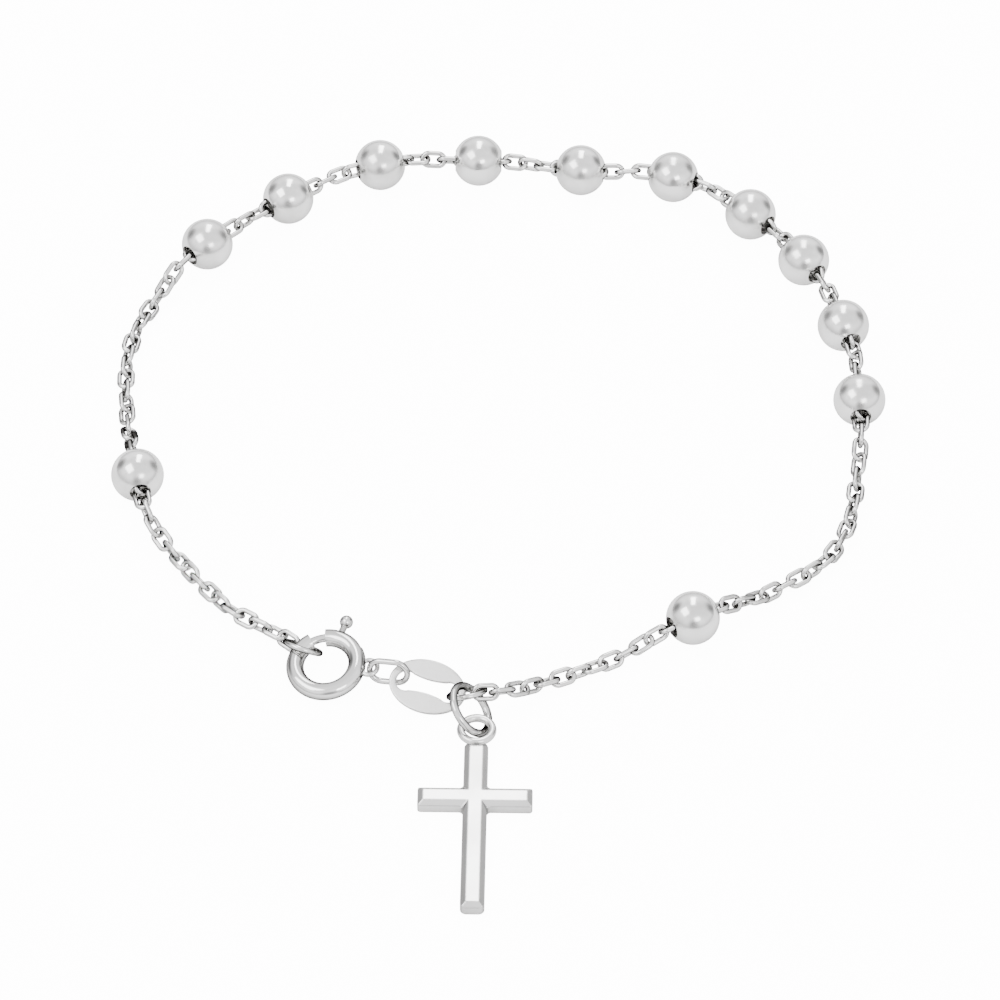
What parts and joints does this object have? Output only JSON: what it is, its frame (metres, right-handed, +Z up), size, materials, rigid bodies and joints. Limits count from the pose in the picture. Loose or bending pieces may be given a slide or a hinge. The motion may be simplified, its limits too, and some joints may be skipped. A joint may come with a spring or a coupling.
{
  "type": "rosary bracelet",
  "caption": "Silver rosary bracelet: small round hollow beads strung on a fine cable chain, closed by a bolt ring clasp, with a tag link and a plain hanging cross.",
  "frame": {"origin": "centre of the whole bracelet's outline on the table, at the height that it rests on", "axes": "+X to the wearer's right of the laid-out loop, +Y away from the cross, +Z up from the table"},
  "size_m": [0.0588, 0.0783, 0.004],
  "materials": {
    "silver": "polished"
  },
  "bodies": {
    "bracelet": {"bead_01": "silver", "bead_02": "silver", "bead_03": "silver", "bead_04": "silver", "bead_05": "silver", "bead_06": "silver", "bead_07": "silver", "bead_08": "silver", "bead_09": "silver", "bead_10": "silver", "bead_11": "silver", "bead_12": "silver", "chain_right": "silver", "chain_left": "silver", "end_ring_cross": "silver", "end_ring_clasp": "silver", "clasp_ring": "silver", "oval_link": "silver", "tag_link": "silver", "jump_ring": "silver", "cross": "silver"},
    "bolt": {"clasp_bolt": "silver"}
  },
  "joints": [
    {"name": "bolt_slide_round", "type": "hinge", "parent": "bracelet", "child": "bolt", "pos_m": [-0.01275, -0.016, 0.00117], "axis": [0.1192, 0.1908, -0.9744], "range_deg": [0, 36], "stiffness_Nm_per_rad": 0.004, "springref_deg": -22.92}
  ]
}
